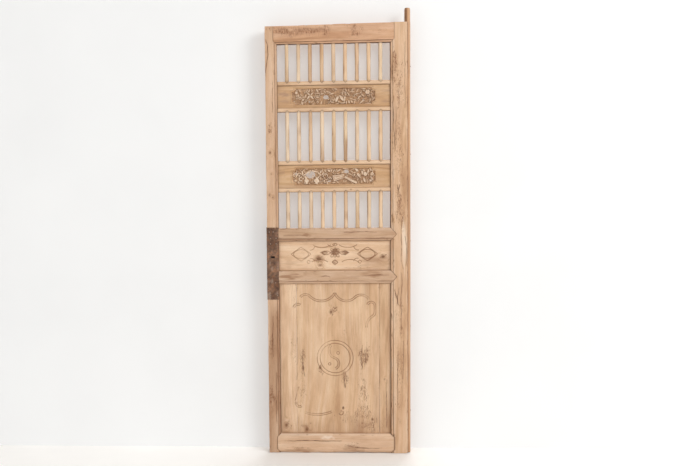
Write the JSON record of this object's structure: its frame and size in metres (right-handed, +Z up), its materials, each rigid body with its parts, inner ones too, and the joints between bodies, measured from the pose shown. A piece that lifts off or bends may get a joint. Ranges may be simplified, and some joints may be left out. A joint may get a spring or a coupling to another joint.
{
  "type": "carved lattice door leaf",
  "caption": "Old wooden door leaf with barred windows, carved boards, incised panels, an iron plate on the latch stile and a round pivot pole.",
  "frame": {"origin": "middle of the leaf's width, on the underside of the bottom rail", "axes": "+Z up along the pivot pole, -Y out of the carved face, +X towards the pole"},
  "size_m": [0.5729, 0.0491, 1.77],
  "materials": {
    "stile_elm": "old stripped elm, dry and worn",
    "rail_elm": "old stripped elm, dry and worn",
    "pole_elm": "old stripped elm, dry and worn",
    "lattice_elm": "old stripped elm, dry and worn",
    "carved_elm": "old stripped elm, dry and worn",
    "panel_elm": "old stripped elm, dry and worn",
    "batten_elm": "old stripped elm, dry and worn",
    "rusted_iron": "rusted, dark brown"
  },
  "bodies": {
    "root": {"left_stile": "stile_elm", "right_stile": "stile_elm", "bottom_rail": "stile_elm", "top_rail": "rail_elm", "lock_rail": "rail_elm", "waist_rail": "rail_elm", "pivot_pole": "pole_elm", "lattice_rail_1": "lattice_elm", "lattice_rail_2": "lattice_elm", "lattice_rail_3": "lattice_elm", "lattice_rail_4": "lattice_elm", "top_bar_1": "lattice_elm", "top_bar_2": "lattice_elm", "top_bar_3": "lattice_elm", "top_bar_4": "lattice_elm", "top_bar_5": "lattice_elm", "top_bar_6": "lattice_elm", "top_bar_7": "lattice_elm", "top_bar_8": "lattice_elm", "top_bar_9": "lattice_elm", "middle_bar_1": "lattice_elm", "middle_bar_2": "lattice_elm", "middle_bar_3": "lattice_elm", "middle_bar_4": "lattice_elm", "middle_bar_5": "lattice_elm", "middle_bar_6": "lattice_elm", "middle_bar_7": "lattice_elm", "middle_bar_8": "lattice_elm", "middle_bar_9": "lattice_elm", "bottom_bar_1": "lattice_elm", "bottom_bar_2": "lattice_elm", "bottom_bar_3": "lattice_elm", "bottom_bar_4": "lattice_elm", "bottom_bar_5": "lattice_elm", "bottom_bar_6": "lattice_elm", "bottom_bar_7": "lattice_elm", "bottom_bar_8": "lattice_elm", "bottom_bar_9": "lattice_elm", "upper_carved_board": "carved_elm", "lower_carved_board": "carved_elm", "waist_panel": "panel_elm", "left_plank": "panel_elm", "centre_plank": "panel_elm", "right_plank": "panel_elm", "back_batten_1": "batten_elm", "back_batten_2": "batten_elm", "iron_plate": "rusted_iron", "plate_nails": "rusted_iron", "pole_nails": "rusted_iron"}
  },
  "joints": []
}
